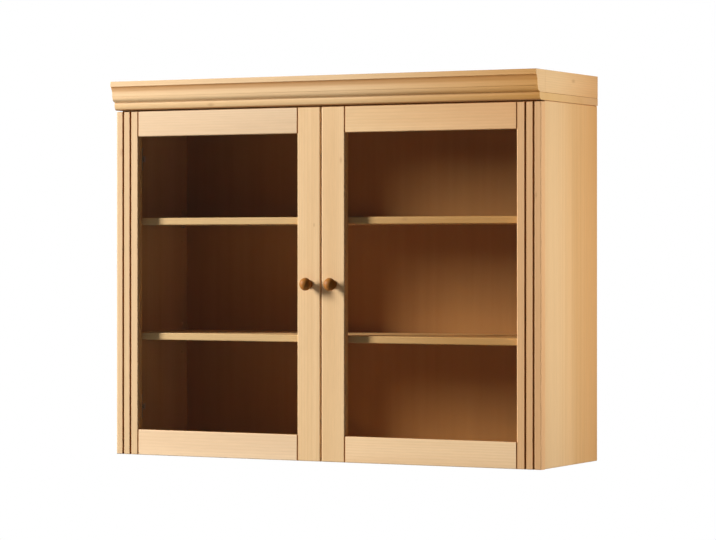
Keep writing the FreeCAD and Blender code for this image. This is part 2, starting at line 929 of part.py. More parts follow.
# Knob, turned in one piece, and the screw that holds it
def knob():
    """The profile runs back from the tip to the door and up from the axis."""
    neck = "knob_length - knob_neck_height"
    foot = "knob_length - knob_foot_height"
    body = doc.addObject("PartDesign::Body", "knob_turning")
    profile = outline(body, "YZ_Plane", "knob_profile", (
        ("0", "0", ("knob_crown_radius", -1)),
        ("knob_head_height", "knob_head_radius", ("knob_shoulder_radius", -1)),
        (neck, "knob_neck_radius", ("knob_flare_radius", 1)),
        (foot, "knob_foot_radius", None),
        ("knob_length", "knob_foot_radius", None),
        ("knob_length", "0", None),
    ))
    turning = body.newObject("PartDesign::Revolution", "knob_turned")
    turning.Profile = profile
    turning.ReferenceAxis = (profile, ["H_Axis"])
    turning.Angle = 360
    place(body, ("knob_x", "door_front - knob_length", "knob_z"))
    hole = rod(
        "knob_hole", "y", "knob_screw_radius + slip_fit", "knob_screw_grip + slip_fit + door_thickness",
        ("knob_x", "door_front - knob_screw_grip - slip_fit", "knob_z"),
    )
    return cut("knob", body, [hole])


def knob_screw():
    """A screw from the back of the stile into the knob."""
    return headed_screw(
        "knob_screw", "y", ("knob_x", "door_front - knob_screw_grip", "knob_z"),
        "knob_screw_grip + door_thickness", "knob_screw_radius",
        "knob_screw_head_radius", "knob_screw_head_height",
    )


def bumpers():
    """Thin discs on the back of the bottom rail, which meet the bottom panel."""
    starts = ("opening_x + bumper_inset", "meeting_x - bumper_inset")
    return group("bumpers", [
        rod("bumper", "y", "bumper_radius", "door_stand_off - bumper_play",
            (start, "door_back", "base_z + bottom_thickness / 2"))
        for start in starts
    ])


both_sides("door_knob", knob())
both_sides("knob_screw", knob_screw())
both_sides("door_bumpers", bumpers())


# Concealed hinges: a cup in the door, an arm on the side panel and a bent link between their pins
def hinge_cup(height):
    """A pressed cup with a flange, bored for its pin and screws."""
    shell = rod("cup_shell", "y", "cup_outer", "cup_depth", ("cup_x", "door_back - cup_depth", height))
    flange = box(
        "cup_flange",
        ("cup_x", "door_back - flange_thickness", f"{height} - flange_half_height"),
        ("flange_reach", "flange_thickness", "2 * flange_half_height"),
    )
    cutters = [
        rod("cup_hollow", "y", "cup_inner", "2 * cup_depth",
            ("cup_x", "door_back - cup_depth + cup_floor", height)),
        rod("cup_pin_seat", "z", "hinge_bore", "2 * door_pin_half + slip_fit",
            ("door_pin_x", "door_pin_y", f"{height} - door_pin_half - slip_fit / 2")),
    ]
    cutters += [
        rod("flange_hole", "y", "wood_screw_hole", "2 * cup_screw_length", start)
        for start in cup_screw_starts(height)
    ]
    return cut("hinge_cup", fuse("cup_blank", [shell, flange]), cutters)


def cup_pin(height):
    """The pin across the cup on which the link turns."""
    return rod("cup_pin", "z", "hinge_pin_radius", "2 * door_pin_half",
               ("door_pin_x", "door_pin_y", f"{height} - door_pin_half"))


def cup_screws():
    """Two screws for each hinge cup."""
    return group("cup_screws", [
        headed_screw("cup_screw", "y", start, "cup_screw_length", "wood_screw_radius",
                     "wood_screw_head_radius", "wood_screw_head_height")
        for height in HINGE_HEIGHTS
        for start in cup_screw_starts(height)
    ])


def hinge_link(height):
    """A gooseneck: down from the door's pin, along the cup's floor and up to the arm's pin."""
    low_z = f"{height} - link_half_height"
    tall = "2 * link_half_height"
    half = "link_thickness / 2"
    floor = "link_floor_y"
    parts = [
        box("link_floor", (f"door_pin_x - {half}", floor, low_z),
            ("arm_pin_x - door_pin_x + link_thickness", "link_thickness", tall)),
    ]
    bores = []
    for x, y in (("door_pin_x", "door_pin_y"), ("arm_pin_x", "arm_pin_y")):
        leg_size = ("link_thickness", f"{y} - {floor}", tall)
        parts.append(box("link_leg", (f"{x} - {half}", floor, low_z), leg_size))
        parts.append(rod("link_boss", "z", "link_boss_radius", tall, (x, y, low_z)))
        bore_start = (x, y, f"{low_z} - link_half_height")
        bores.append(rod("link_bore", "z", "hinge_bore", f"2 * {tall}", bore_start))
    return cut("hinge_link", fuse("link_blank", parts), bores)


def hinge_arm(height):
    """A block on the mounting plate, with two ears that reach into the cup."""
    parts = [box("arm_block", ("plate_x", "arm_y", f"{height} - arm_half_height"),
                 ("arm_thickness", "arm_length", "2 * arm_half_height"))]
    for low in (f"{height} - arm_half_height", f"{height} + arm_half_height - ear_thickness"):
        parts.append(rod("ear_nose", "z", "ear_radius", "ear_thickness", ("arm_pin_x", "arm_pin_y", low)))
        parts.append(box("ear", ("arm_pin_x - ear_radius", "arm_pin_y", low),
                         ("2 * ear_radius", "arm_neck + ear_radius", "ear_thickness")))
    holes = [
        rod("ear_bore", "z", "hinge_bore", "4 * arm_half_height",
            ("arm_pin_x", "arm_pin_y", f"{height} - 2 * arm_half_height")),
        rod("arm_screw_hole", "x", "arm_screw_radius + slip_fit", "3 * arm_thickness",
            ("plate_x - arm_thickness", "arm_screw_y", height)),
    ]
    return cut("hinge_arm", fuse("arm_blank", parts), holes)


def arm_pin(height):
    """The pin across the arm's ears on which the link turns."""
    return rod("arm_pin", "z", "hinge_pin_radius", "2 * arm_half_height",
               ("arm_pin_x", "arm_pin_y", f"{height} - arm_half_height"))


def arm_screw(height):
    """The screw that holds the arm on its plate."""
    return headed_screw(
        "arm_screw", "x", ("inner_x + slip_fit", "arm_screw_y", height),
        "plate_thickness + arm_thickness - slip_fit", "arm_screw_radius",
        "arm_screw_head_radius", "arm_screw_head_height",
    )


def mounting_plate(height):
    """A flat plate on the side panel."""
    blank = box(
        "plate_blank",
        ("inner_x", "plate_y - plate_depth / 2", f"{height} - plate_height / 2"),
        ("plate_thickness", "plate_depth", "plate_height"),
    )
    behind = "inner_x - plate_thickness"
    through = "3 * plate_thickness"
    holes = [
        rod("plate_hole", "x", "wood_screw_hole", through, (behind, "plate_y", at))
        for at in plate_screw_heights(height)
    ]
    thread_start = (behind, "arm_screw_y", height)
    holes.append(rod("plate_thread", "x", "arm_screw_radius + slip_fit", through, thread_start))
    return cut("mounting_plate", blank, holes)


def plate_screws():
    """Two screws for each mounting plate."""
    return group("plate_screws", [
        headed_screw("plate_screw", "x", ("inner_x - plate_screw_grip", "plate_y", at),
                     "plate_screw_grip + plate_thickness", "wood_screw_radius",
                     "wood_screw_head_radius", "wood_screw_head_height")
        for height in HINGE_HEIGHTS
        for at in plate_screw_heights(height)
    ])


for label, maker in (
    ("hinge_cups", hinge_cup),
    ("hinge_cup_pins", cup_pin),
    ("hinge_links", hinge_link),
    ("hinge_arms", hinge_arm),
    ("hinge_arm_pins", arm_pin),
    ("hinge_arm_screws", arm_screw),
    ("hinge_plates", mounting_plate),
):
    both_sides(label, group(label, [maker(height) for height in HINGE_HEIGHTS]))
both_sides("hinge_cup_screws", cup_screws())
both_sides("hinge_plate_screws", plate_screws())


# Check every object, then write each piece to its own file
doc.recompute()
for thing in doc.Objects:
    if {"Invalid", "Error"} & set(thing.State):
        raise RuntimeError(f"{thing.Name} failed: {thing.State}")
    if thing.TypeId == "Part::Cut" and thing.Shape.Volume >= thing.Base.Shape.Volume - TOUCH:
        raise RuntimeError(f"{thing.Name} cuts nothing")
for label, thing in nodes.items():
    if thing.Shape.isNull() or not thing.Shape.isValid():
        raise RuntimeError(f"{label} has no valid shape")
os.makedirs("parts", exist_ok=True)
for label, thing in nodes.items():
    thing.Shape.exportStep(f"parts/{label}.step")
    print(f"{label}: {len(thing.Shape.Solids)} solids, {thing.Shape.Volume / 1000:.2f} cm3")
print(len(nodes), "nodes")
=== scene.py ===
import math

import bpy
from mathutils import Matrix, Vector


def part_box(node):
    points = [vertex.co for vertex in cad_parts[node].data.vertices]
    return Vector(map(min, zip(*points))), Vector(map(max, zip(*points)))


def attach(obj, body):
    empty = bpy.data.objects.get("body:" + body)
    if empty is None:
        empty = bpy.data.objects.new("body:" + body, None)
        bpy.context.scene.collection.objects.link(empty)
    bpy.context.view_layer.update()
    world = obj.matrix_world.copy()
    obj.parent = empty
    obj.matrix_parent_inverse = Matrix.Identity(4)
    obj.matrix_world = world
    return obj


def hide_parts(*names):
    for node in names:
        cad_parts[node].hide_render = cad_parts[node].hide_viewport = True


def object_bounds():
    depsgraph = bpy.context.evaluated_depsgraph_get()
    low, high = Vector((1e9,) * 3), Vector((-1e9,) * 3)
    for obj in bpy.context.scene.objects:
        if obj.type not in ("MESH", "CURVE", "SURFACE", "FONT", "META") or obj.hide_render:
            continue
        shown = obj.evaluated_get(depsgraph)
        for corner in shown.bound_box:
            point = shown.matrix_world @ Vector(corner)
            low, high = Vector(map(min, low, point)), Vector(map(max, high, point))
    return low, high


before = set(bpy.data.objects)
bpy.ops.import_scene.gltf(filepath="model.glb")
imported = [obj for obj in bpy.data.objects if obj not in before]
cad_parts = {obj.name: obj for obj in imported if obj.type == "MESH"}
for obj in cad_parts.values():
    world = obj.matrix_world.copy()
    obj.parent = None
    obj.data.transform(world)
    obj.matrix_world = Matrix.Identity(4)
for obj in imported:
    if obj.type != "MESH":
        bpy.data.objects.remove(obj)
CAD_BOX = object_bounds()

bl_info = {
    "name": "Glazed Pine Wall Cabinet",
    "version": (1, 0, 0),
    "blender": (4, 5, 0),
    "location": "View3D > Sidebar > Cabinet",
    "description": "Finishes a glazed pine wall cabinet and sets it on a plain stage",
    "category": "Object",
}

MM = 0.001
X, Y, Z = range(3)
SIDES = {"left": -1, "right": 1}

# Hue settings of boards: their own hue, and the one where they turn a little redder at the end of a drift
OWN_HUE = 0.5
REDDER_HUE = 0.489

# A board's cut: how far the heart of the tree lies from the board's middle, its turn from board to board
# in radians, the scale that draws the grain out, its greatest shift in a stave, and the step between the
# numbers that two boards' staves draw from
HEART_DISTANCE = 70 * MM
HEART_TURN = 2.4
GRAIN_SCALE = 0.05
STAVE_SHIFT = 110 * MM
DRAW_STEP = 7.0

# Knots: the scale that draws them out along the grain, and how strongly their heart shows
KNOT_SCALE = 0.45
KNOT_STRENGTH = 0.35

# Painted shade on a door: half the width and the depth of its lines at the joints and in the flutes, how far
# in from the door's outer edge the flutes lie, how deep their lip is left unshaded, and its height at the
# top edges
JOINT_SHADE_REACH = 1.9 * MM
JOINT_SHADE_DEPTH = 4 * MM
FLUTE_SHADE_REACH = 2.2 * MM
FLUTE_SHADE_DEPTH = 6 * MM
FLUTE_INSETS = (17 * MM, 35 * MM)
FLUTE_LIP = 0.5 * MM
TOP_SHADE_HEIGHT = 0.2 * MM

# Painted shade under the crown boards: its height, and how far it runs on to the front over the moulding's
# end
CROWN_SHADE_HEIGHT = 0.7 * MM
CROWN_SHADE_REACH = 45 * MM

# Stage: the floor's side, the glow that makes it white to the eye, the gap between the left side and the
# shading cards, and how far these end behind the front edges
FLOOR_SIZE = 14.0
FLOOR_GLOW = 0.8
CARD_GAP = 3 * MM
CARD_SETBACK = 0.5 * MM

# Sockets of a Mix node that mixes colours
FACTOR, FIRST, SECOND, MIXED = 0, 6, 7, 2

# Grain direction of each pine board, and for a glued-up panel the axis that its staves lie across
CENTRAL_BOARDS = {
    "bottom_panel": (X, Y),
    "lower_shelf": (X, Y),
    "upper_shelf": (X, Y),
    "hanging_rail": (X, None),
    "lower_wall_rail": (X, None),
    "crown_corner_blocks": (Z, None),
}
PAIRED_BOARDS = {
    "side_panel": (Z, Y),
    "crown_board": (Y, None),
    "door_hinge_stile": (Z, None),
    "door_meeting_stile": (Z, None),
    "door_bottom_rail": (X, None),
    "door_top_rail": (X, None),
    "door_glazing_beads": (Z, None),
}
# Boards that differ in tone from the rest: saturation and brightness. Some tones are painted light:
# the left door's rails paler as a painted sheen, the bottom rails brighter as painted light, and the
# right hinge stile and the left side panel darker as painted shade
BOARD_TONES_AND_PAINTED_LIGHT = {
    "lower_shelf": (1.05, 1.0),
    "upper_shelf": (1.05, 1.0),
    "left_side_panel": (1.0, 0.8),
    "left_door_hinge_stile": (0.97, 0.87),
    "right_door_hinge_stile": (1.08, 0.95),
    "left_door_top_rail": (0.88, 0.91),
    "left_door_bottom_rail": (0.86, 1.04),
    "right_door_bottom_rail": (0.92, 1.12),
}
# Boards whose tone drifts along them: the axis, where the drift starts and ends,
# and the saturation and brightness at its end. A drift along X is painted shade: the board turns more
# saturated, redder and darker towards the right, where the key light weakens. Along Y the right side
# panel and crown board turn more saturated towards the back
BOARD_FADES = {
    "right_side_panel": (Y, -0.21, -0.03, 1.2, 1.0),
    "right_crown_board": (Y, -0.21, -0.03, 1.15, 1.0),
    "right_door_top_rail": (X, 0.06, 0.45, 1.12, 0.96),
    "right_door_hinge_stile": (X, 0.4, 0.45, 1.1, 1.0),
    "lower_shelf": (X, -0.1, 0.3, 1.25, 0.79),
    "upper_shelf": (X, -0.1, 0.3, 1.25, 0.81),
}
# Knots that show on a board: the middle and the radius of each
BOARD_KNOTS = {
    "right_crown_board": [((0.5, -0.127, 0.085), 6 * MM)],
    "left_door_hinge_stile": [((-0.488, -0.287, -0.05), 6 * MM), ((-0.465, -0.287, -0.221), 3 * MM)],
    "left_door_meeting_stile": [((-0.016, -0.287, -0.208), 3 * MM)],
    "right_door_meeting_stile": [((0.047, -0.287, -0.074), 5 * MM)],
    "right_door_hinge_stile": [((0.488, -0.287, -0.15), 4 * MM)],
    "upper_shelf": [((0.184, -0.264, -0.197), 5 * MM)],
}
# Nickel-plated pieces of each side, and of the cabinet as a whole
PAIRED_METAL = (
    "hinge_arms", "hinge_plates", "hinge_links", "hinge_cups", "hinge_cup_pins", "hinge_arm_pins",
    "hinge_arm_screws", "hinge_plate_screws", "hinge_cup_screws", "knob_screw",
)
CENTRAL_METAL = ("lower_shelf_pins", "upper_shelf_pins", "crown_screws")


def linear(hex_colour):
    """An sRGB hex colour as linear red, green, blue and alpha."""
    channels = [int(hex_colour[start:start + 2], 16) / 255 for start in (1, 3, 5)]
    return [c / 12.92 if c <= 0.04045 else ((c + 0.055) / 1.055) ** 2.4 for c in channels] + [1.0]


def colour_property(name, description, hex_colour):
    """A colour that a user may change."""
    return bpy.props.FloatVectorProperty(
        name=name, description=description, subtype="COLOR", size=4, min=0.0, max=1.0,
        default=linear(hex_colour),
    )


def length_property(name, description, metres):
    """A length that a user may change."""
    return bpy.props.FloatProperty(
        name=name, description=description, unit="LENGTH", min=0.0, default=metres
    )


# Sizes and colours that a user would change
class CabinetFinish(bpy.types.PropertyGroup):
    """Colours and grain sizes of the cabinet's materials."""

    early_wood: colour_property("Early wood", "Pale wood between the growth lines", "#EDC590")
    late_wood: colour_property("Late wood", "Amber wood of the growth lines", "#D5A568")
    warm_wood: colour_property("Warm wood", "Honey tone of cloudy patches", "#E0B47C")
    knot: colour_property("Knot", "Heart of a small knot", "#A0622E")
    # Painted shade: a dark colour laid into grooves, joints, gaps and undersides
    dark_painted_shade: colour_property("Old wax", "Dark wax in the grooves and joints", "#B47C42")
    # Painted shade: amber darkening below the crown's fillet
    amber_painted_shade: colour_property("Thin wax", "Amber wax that thins out in the crown's hollow", "#D08A3E")
    knob_wood: colour_property("Knob wood", "Stained early wood of the knobs", "#A86C2C")
    knob_grain: colour_property("Knob grain", "Stained late wood of the knobs", "#8A5018")
    back_sheet: colour_property("Back sheet", "Ground of the back sheet", "#BC8446")
    back_grain: colour_property("Back grain", "Darker streaks of the back sheet", "#B67E42")
    nickel: colour_property("Nickel", "Nickel plating on the hinges and screws", "#C8C4BA")
    beech: colour_property("Beech", "Pale wood of the dowels", "#D8B78E")
    beech_fleck: colour_property("Beech fleck", "Short brown flecks in the beech", "#B98F63")
    silicone: colour_property("Silicone", "Milky soft bumpers", "#DEDCD4")
    ring_spacing: length_property("Growth ring spacing", "Distance between two growth lines", 4.5 * MM)
    fibre_width: length_property("Fibre width", "Width of a fibre streak", 2.2 * MM)
    stave_width: length_property("Stave width", "Width of the staves of a glued-up panel", 133 * MM)


class CabinetStage(bpy.types.PropertyGroup):
    """The camera, the lights and the floor."""

    camera_place: bpy.props.FloatVectorProperty(
        name="Camera place", description="Where the camera stands", subtype="XYZ", unit="LENGTH",
        default=(2.868, -5.593, -0.258),
    )
    camera_turn: bpy.props.FloatProperty(
        name="Camera turn", description="How far the level camera turns to the left", subtype="ANGLE",
        default=math.radians(27.66),
    )
    lens: bpy.props.FloatProperty(
        name="Lens", description="Focal length in millimetres on a 36 mm sensor", default=146.2, min=1.0
    )
    rise: bpy.props.FloatProperty(
        name="Rise", description="Vertical shift that frames the cabinet", default=-0.0293
    )
    floor_drop: length_property("Floor drop", "Height of the hung cabinet over the floor", 1.45)
    key_power: bpy.props.FloatProperty(
        name="Key light", description="Power of the soft light from the upper left",
        unit="POWER", default=740.0,
    )
    back_power: bpy.props.FloatProperty(
        name="Back light", description="Power of the soft light on the back and the left side",
        unit="POWER", default=140.0,
    )
    side_power: bpy.props.FloatProperty(
        name="Side light", description="Power of the soft light on the right side",
        unit="POWER", default=6.0,
    )
    ambient: bpy.props.FloatProperty(
        name="Ambient", description="Strength of the even light from all round", default=0.06, min=0.0
    )
    cloth_light: bpy.props.FloatProperty(
        name="Cloth light", description="Light of the cloth that metal and lacquer catch",
        default=0.25, min=0.0,
    )


class CabinetShapes(bpy.types.PropertyGroup):
    """Sizes of the pieces that are modelled here."""

    knob_steps: bpy.props.IntProperty(
        name="Knob steps", description="Faces round a knob", default=64, min=8
    )
    arc_steps: bpy.props.IntProperty(
        name="Arc steps", description="Faces along an arc", default=12, min=2
    )
    arris: length_property("Arris", "Easing of the moulding's sharp edges", 0.5 * MM)


# Nodes
def add_node(tree, kind, inputs=None, **settings):
    """Add a node with its settings, and give its inputs their values or links."""
    node = tree.nodes.new(kind)
    for name, setting in settings.items():
        setattr(node, name, setting)
    for socket, source in (inputs or {}).items():
        if isinstance(source, bpy.types.NodeSocket):
            tree.links.new(source, node.inputs[socket])
        else:
            node.inputs[socket].default_value = source
    return node


def start_material(name, constants):
    """A new material with one shader, whose even values are set on its own sockets."""
    material = bpy.data.materials.new(name)
    material.use_nodes = True
    tree = material.node_tree
    tree.nodes.clear()
    shader = add_node(tree, "ShaderNodeBsdfPrincipled", constants)
    add_node(tree, "ShaderNodeOutputMaterial", {"Surface": shader.outputs["BSDF"]})
    return material, tree, shader


def worn_material(node_name):
    """The material that a CAD node has been given."""
    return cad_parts[node_name].material_slots[0].material


def dress(node_name, material):
    """Give a CAD node a material in place of its plain one."""
    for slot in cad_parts[node_name].material_slots:
        slot.material = material


# Materials
def stave_cut(tree, spot, axis, start, seed):
    """Shift the grain from stave to stave of a glued-up panel, and draw a tone for each stave."""
    width = bpy.context.scene.cabinet_finish.stave_width
    across = add_node(tree, "ShaderNodeSeparateXYZ", {0: spot}).outputs[axis]
    from_start = add_node(tree, "ShaderNodeMath", {0: across, 1: start}, operation="SUBTRACT").outputs[0]
    count = add_node(tree, "ShaderNodeMath", {0: from_start, 1: width}, operation="DIVIDE").outputs[0]
    stave = add_node(tree, "ShaderNodeMath", {0: count}, operation="FLOOR").outputs[0]
    lot = add_node(tree, "ShaderNodeMath", {0: stave, 1: seed * DRAW_STEP}, operation="ADD").outputs[0]
    draw = add_node(tree, "ShaderNodeTexWhiteNoise", {"W": lot}, noise_dimensions="1D")
    shift = add_node(tree, "ShaderNodeVectorMath", {
        0: draw.outputs["Color"], "Scale": STAVE_SHIFT,
    }, operation="SCALE")
    moved = add_node(tree, "ShaderNodeVectorMath", {0: spot, 1: shift.outputs[0]}, operation="ADD")
    tone = add_node(tree, "ShaderNodeMapRange", {
        "Value": draw.outputs["Value"], "To Min": 0.96, "To Max": 1.03,
    })
    return moved.outputs[0], tone.outputs[0]


def add_knots(tree, colour, spot, grain, knots):
    """Lay small soft-edged knots, longer along the grain, over a colour."""
    flat = [KNOT_SCALE if axis == grain else 1.0 for axis in (X, Y, Z)]
    for knot, radius in knots:
        near = add_node(tree, "ShaderNodeMapping", {
            "Vector": spot, "Scale": flat, "Location": [-place * share for place, share in zip(knot, flat)],
        })
        reach = add_node(tree, "ShaderNodeVectorMath", {0: near.outputs[0]}, operation="LENGTH")
        share = add_node(tree, "ShaderNodeMapRange", {
            "Value": reach.outputs["Value"], "From Min": 0.0, "From Max": radius,
            "To Min": KNOT_STRENGTH, "To Max": 0.0,
        }, interpolation_type="SMOOTHSTEP").outputs[0]
        colour = add_node(tree, "ShaderNodeMix", {
            FACTOR: share, FIRST: colour, SECOND: bpy.context.scene.cabinet_finish.knot,
        }, data_type="RGBA").outputs[MIXED]
    return colour


def add_painted_shade(tree, colour, spot, grooves):
    """Lay painted shade over a colour inside boxes, each given by its lowest and highest corner."""
    for low, high in grooves:
        inside = add_node(tree, "ShaderNodeMapping", {
            "Vector": spot, "Location": (low + high) / 2, "Scale": (high - low) / 2,
        }, vector_type="TEXTURE")
        reach = add_node(tree, "ShaderNodeVectorMath", {0: inside.outputs[0]}, operation="ABSOLUTE")
        steps = add_node(tree, "ShaderNodeVectorMath", {0: reach.outputs[0]}, operation="FLOOR")
        beyond = add_node(tree, "ShaderNodeVectorMath", {0: steps.outputs[0]}, operation="LENGTH")
        within = add_node(tree, "ShaderNodeMath", {
            0: beyond.outputs["Value"], 1: 0.5,
        }, operation="LESS_THAN")
        colour = add_node(tree, "ShaderNodeMix", {
            FACTOR: within.outputs[0], FIRST: colour, SECOND: bpy.context.scene.cabinet_finish.dark_painted_shade,
        }, data_type="RGBA").outputs[MIXED]
    return colour


def add_painted_shade_below(tree, colour, spot, foot, ledge):
    """Lay painted amber shade over a colour below the height of a ledge. It thins out down to the height of
    a foot.
    """
    height = add_node(tree, "ShaderNodeSeparateXYZ", {0: spot}).outputs["Z"]
    below = add_node(tree, "ShaderNodeMath", {0: height, 1: ledge}, operation="LESS_THAN").outputs[0]
    thickness = add_node(tree, "ShaderNodeMapRange", {
        "Value": height, "From Min": foot, "From Max": ledge, "To Min": 0.0, "To Max": 0.85,
    }).outputs[0]
    share = add_node(tree, "ShaderNodeMath", {0: below, 1: thickness}, operation="MULTIPLY").outputs[0]
    return add_node(tree, "ShaderNodeMix", {
        FACTOR: share, FIRST: colour, SECOND: bpy.context.scene.cabinet_finish.amber_painted_shade,
    }, data_type="RGBA").outputs[MIXED]


def drift(tree, spot, saturation, fade):
    """Let a board's hue, saturation and brightness drift along it to those at the end of a fade."""
    axis, start, end, end_saturation, end_value = fade
    run = add_node(tree, "ShaderNodeSeparateXYZ", {0: spot}).outputs[axis]
    drifting = []
    for first, last in ((OWN_HUE, REDDER_HUE), (saturation, end_saturation), (1.0, end_value)):
        drifting.append(add_node(tree, "ShaderNodeMapRange", {
            "Value": run, "From Min": start, "From Max": end, "To Min": first, "To Max": last,
        }).outputs[0])
    return drifting


def growth_space(tree, spot, centre, grain, seed):
    """Coordinates round the heart of the tree, drawn out along the grain.

    The heart lies outside the board, so growth rings cross its faces as long lines.
    """
    turn = seed * HEART_TURN
    heart = [HEART_DISTANCE * share for share in (math.cos(turn), math.sin(turn), math.sin(turn))]
    if grain == Y:
        heart[Y] = 0.0
    stretch = [1.0, 1.0, 1.0]
    stretch[grain] = GRAIN_SCALE
    return add_node(tree, "ShaderNodeMapping", {
        "Vector": spot, "Scale": stretch,
        "Location": [-(centre[axis] + heart[axis]) * stretch[axis] for axis in (X, Y, Z)],
    }).outputs[0]


def pine_figure(tree, growth, grain, woods):
    """Where late wood lies, and the colour of early wood with its late-wood lines and cloudy patches."""
    early, late_colour, warm = woods
    ring_spacing = bpy.context.scene.cabinet_finish.ring_spacing
    # One period of the ring pattern is pi / 10 over its scale
    rings = add_node(tree, "ShaderNodeTexWave", {
        "Vector": growth, "Scale": math.pi / 10 / ring_spacing, "Distortion": 3.5, "Detail": 2.0,
        "Detail Scale": 0.16, "Detail Roughness": 0.55,
    }, wave_type="RINGS", rings_direction="XYZ"[grain], wave_profile="SAW").outputs["Fac"]
    late = add_node(tree, "ShaderNodeMath", {0: rings, 1: 2.2}, operation="POWER").outputs[0]
    late_share = add_node(tree, "ShaderNodeMath", {0: late, 1: 0.28}, operation="MULTIPLY").outputs[0]
    ringed = add_node(tree, "ShaderNodeMix", {
        FACTOR: late_share, FIRST: early, SECOND: late_colour,
    }, data_type="RGBA").outputs[MIXED]
    cloud = add_node(tree, "ShaderNodeTexNoise", {
        "Vector": growth, "Scale": 22.0, "Detail": 2.0,
    }).outputs["Fac"]
    patch = add_node(tree, "ShaderNodeMapRange", {
        "Value": cloud, "From Min": 0.4, "From Max": 0.75, "To Min": 0.0, "To Max": 0.7,
    }).outputs[0]
    clouded = add_node(tree, "ShaderNodeMix", {
        FACTOR: patch, FIRST: ringed, SECOND: warm,
    }, data_type="RGBA").outputs[MIXED]
    return late, clouded


def lacquered_pine(name, centre, grain, seed, staves=None, knots=(), grooves=(), tone=(1.0, 1.0), fade=None,
                   woods=None, gloss=0.5, hollow=None):
    """Planed pine under a satin lacquer.

    The eye meets honey-pale early wood with thin amber growth lines along the board, soft fibre
    streaks, cloudy warm patches and now and then a small knot, under a low even sheen. Painted shade
    darkens the grooves, the joints, the gaps and the undersides, and a hollow under a ledge. Staves gives
    the axis that glued-up staves lie across and where they start, tone the saturation and brightness, fade
    the axis, start, end, saturation and brightness of a tone that drifts along the board, woods the early,
    late and cloudy colours, gloss the lacquer's shine and hollow the heights of the foot and the ledge of a
    hollow that gets painted shade. For some boards tone and fade also paint light and shade.
    """
    finish = bpy.context.scene.cabinet_finish
    woods = woods or (finish.early_wood, finish.late_wood, finish.warm_wood)
    hue = OWN_HUE
    saturation, value = tone
    shades = [value]
    material, tree, shader = start_material(name, {"IOR": 1.48, "Specular IOR Level": gloss})
    spot = add_node(tree, "ShaderNodeTexCoord").outputs["Object"]
    in_stave = spot
    if staves:
        in_stave, stave_tone = stave_cut(tree, spot, *staves, seed)
        shades.append(stave_tone)
    if fade:
        hue, saturation, fade_tone = drift(tree, spot, saturation, fade)
        shades.append(fade_tone)
    growth = growth_space(tree, in_stave, centre, grain, seed)
    late, figured = pine_figure(tree, growth, grain, woods)
    # Real fibres are finer than a pixel, so they are drawn wide enough to show
    fibre = add_node(tree, "ShaderNodeTexNoise", {
        "Vector": growth, "Scale": 1 / finish.fibre_width, "Detail": 3.0, "Roughness": 0.6,
    }).outputs["Fac"]
    shade = add_node(tree, "ShaderNodeMapRange", {
        "Value": fibre, "From Min": 0.3, "From Max": 0.7, "To Min": 0.965, "To Max": 1.035,
    }).outputs[0]
    for factor in shades:
        shade = add_node(tree, "ShaderNodeMath", {0: shade, 1: factor}, operation="MULTIPLY").outputs[0]
    colour = add_node(tree, "ShaderNodeHueSaturation", {
        "Hue": hue, "Saturation": saturation, "Value": shade, "Color": figured,
    }).outputs[0]
    colour = add_knots(tree, colour, spot, grain, knots)
    # Painted shade in the grooves, joints and gaps, and under the boards
    colour = add_painted_shade(tree, colour, spot, grooves)
    # Painted shade in the hollow below a ledge
    if hollow:
        colour = add_painted_shade_below(tree, colour, spot, *hollow)
    sheen = add_node(tree, "ShaderNodeMapRange", {"Value": fibre, "To Min": 0.44, "To Max": 0.6}).outputs[0]
    relief = add_node(tree, "ShaderNodeMath", {0: fibre, 1: late}, operation="ADD").outputs[0]
    bump = add_node(tree, "ShaderNodeBump", {"Strength": 0.12, "Distance": 0.3 * MM, "Height": relief})
    tree.links.new(colour, shader.inputs["Base Color"])
    tree.links.new(sheen, shader.inputs["Roughness"])
    tree.links.new(bump.outputs[0], shader.inputs["Normal"])
    return material


def brown_back_sheet():
    """A thin veneered sheet, brown and darker than the boards: low contrast streaks that run up it, nearly
    matt.
    """
    finish = bpy.context.scene.cabinet_finish
    material, tree, shader = start_material("brown_veneer_sheet", {"Specular IOR Level": 0.2})
    spot = add_node(tree, "ShaderNodeTexCoord").outputs["Object"]
    growth = add_node(tree, "ShaderNodeMapping", {"Vector": spot, "Scale": (1.0, 1.0, 0.04)}).outputs[0]
    streaks = add_node(tree, "ShaderNodeTexNoise", {
        "Vector": growth, "Scale": 55.0, "Detail": 4.0,
    }).outputs["Fac"]
    share = add_node(tree, "ShaderNodeMapRange", {"Value": streaks, "From Min": 0.35, "From Max": 0.7})
    colour = add_node(tree, "ShaderNodeMix", {
        FACTOR: share.outputs[0], FIRST: finish.back_sheet, SECOND: finish.back_grain,
    }, data_type="RGBA").outputs[MIXED]
    sheen = add_node(tree, "ShaderNodeMapRange", {"Value": streaks, "To Min": 0.5, "To Max": 0.7}).outputs[0]
    bump = add_node(tree, "ShaderNodeBump", {"Strength": 0.08, "Distance": 0.2 * MM, "Height": streaks})
    tree.links.new(colour, shader.inputs["Base Color"])
    tree.links.new(sheen, shader.inputs["Roughness"])
    tree.links.new(bump.outputs[0], shader.inputs["Normal"])
    return material


